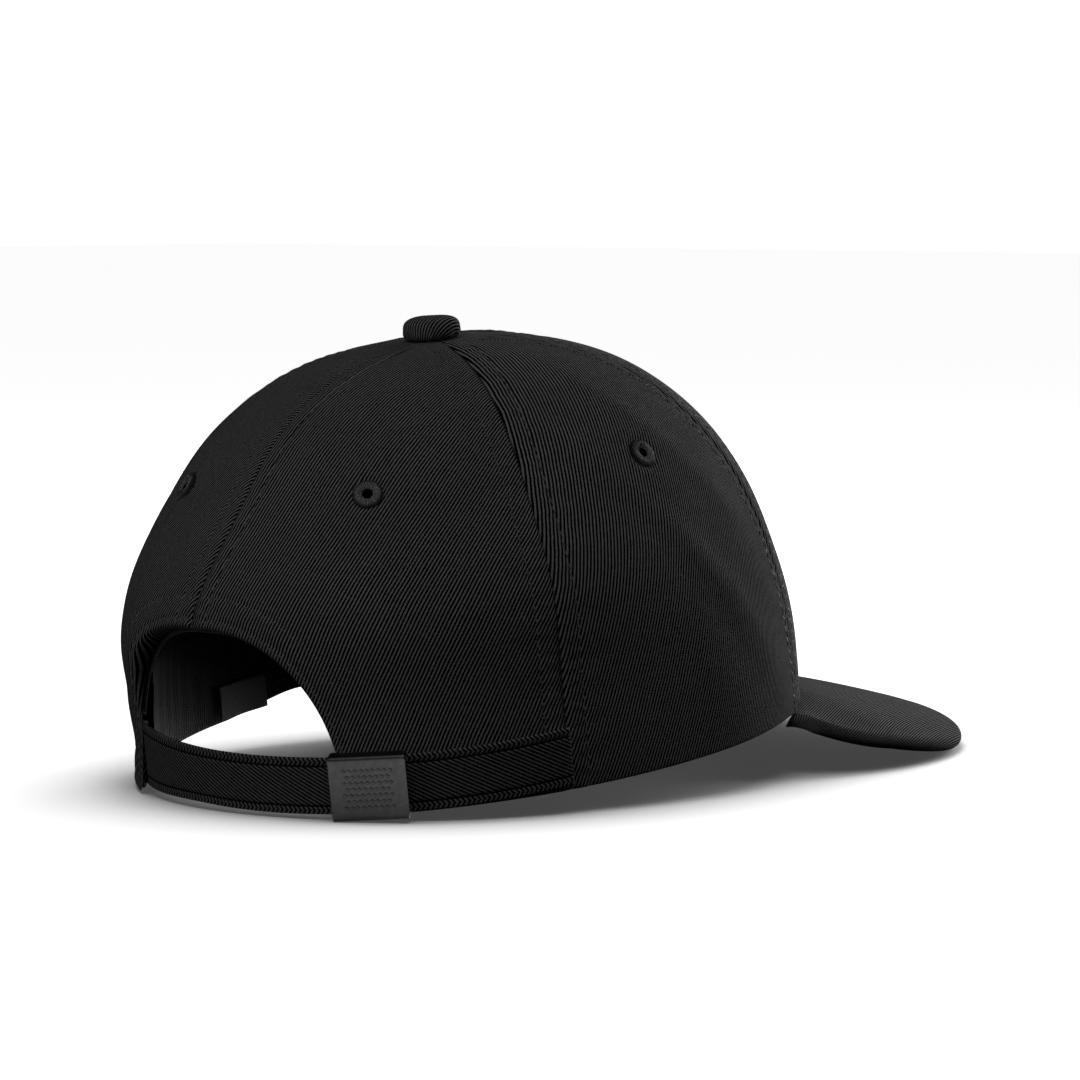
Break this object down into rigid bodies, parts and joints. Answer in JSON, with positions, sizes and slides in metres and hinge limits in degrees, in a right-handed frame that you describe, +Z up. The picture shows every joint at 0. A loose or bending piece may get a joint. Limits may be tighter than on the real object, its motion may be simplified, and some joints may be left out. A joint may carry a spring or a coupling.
{
  "type": "baseball cap",
  "caption": "Soft-crown baseball cap with a curved visor, a rear arch and a webbing strap adjusted through a flip-open metal clasp.",
  "frame": {"origin": "on the floor, below the middle of the whole cap's bounding box", "axes": "+Z up, -Y towards the visor, +Y towards the rear arch and strap, -X the wearer's right; the cap stands as on a table, pitched back 6.8 degrees on its rear rim and the visor's front corners"},
  "size_m": [0.1694, 0.2726, 0.1255],
  "materials": {
    "twill": "black cotton twill, matt, fine diagonal wale",
    "thread": "black embroidery thread",
    "lining": "black cotton tape and sweatband",
    "stiffener": "dark grey stiffening mesh cloth",
    "board": "flexible visor board",
    "webbing": "black ribbed webbing",
    "gunmetal": "dark antique nickel on thin sheet metal",
    "steel": "plain steel pin, button shell and washer",
    "label": "blank woven label"
  },
  "bodies": {
    "cap": {"arch_binding": "lining", "button_cover": "twill", "button_shell": "steel", "button_washer": "steel", "clasp_frame": "gunmetal", "clasp_pin": "steel", "clasp_tab": "webbing", "eyelet_front_left": "thread", "eyelet_front_right": "thread", "eyelet_rear_left": "thread", "eyelet_rear_right": "thread", "eyelet_side_left": "thread", "eyelet_side_right": "thread", "inner_label": "label", "panel_front_left": "twill", "panel_front_right": "twill", "panel_rear_left": "twill", "panel_rear_right": "twill", "panel_side_left": "twill", "panel_side_right": "twill", "seam_tape_front": "lining", "seam_tape_front_left": "lining", "seam_tape_front_right": "lining", "seam_tape_rear": "lining", "seam_tape_side_left": "lining", "seam_tape_side_right": "lining", "stiffener_left": "stiffener", "stiffener_right": "stiffener", "sweatband": "lining", "visor_board": "board", "visor_top_cover": "twill", "visor_under_cover": "twill"},
    "strap": {"strap": "webbing"},
    "cover": {"clasp_cover": "gunmetal"}
  },
  "joints": [
    {"name": "cover_flip", "type": "hinge", "parent": "cap", "child": "cover", "pos_m": [-0.03875, 0.12886, 0.00859], "axis": [0.0341, -0.1684, -0.9851], "range_deg": [0, 100]},
    {"name": "strap_adjust", "type": "hinge", "parent": "cap", "child": "strap", "pos_m": [-0.0053, 0.06173, 0.02123], "axis": [-0.0341, 0.1684, 0.9851], "range_deg": [-8, 8]}
  ]
}
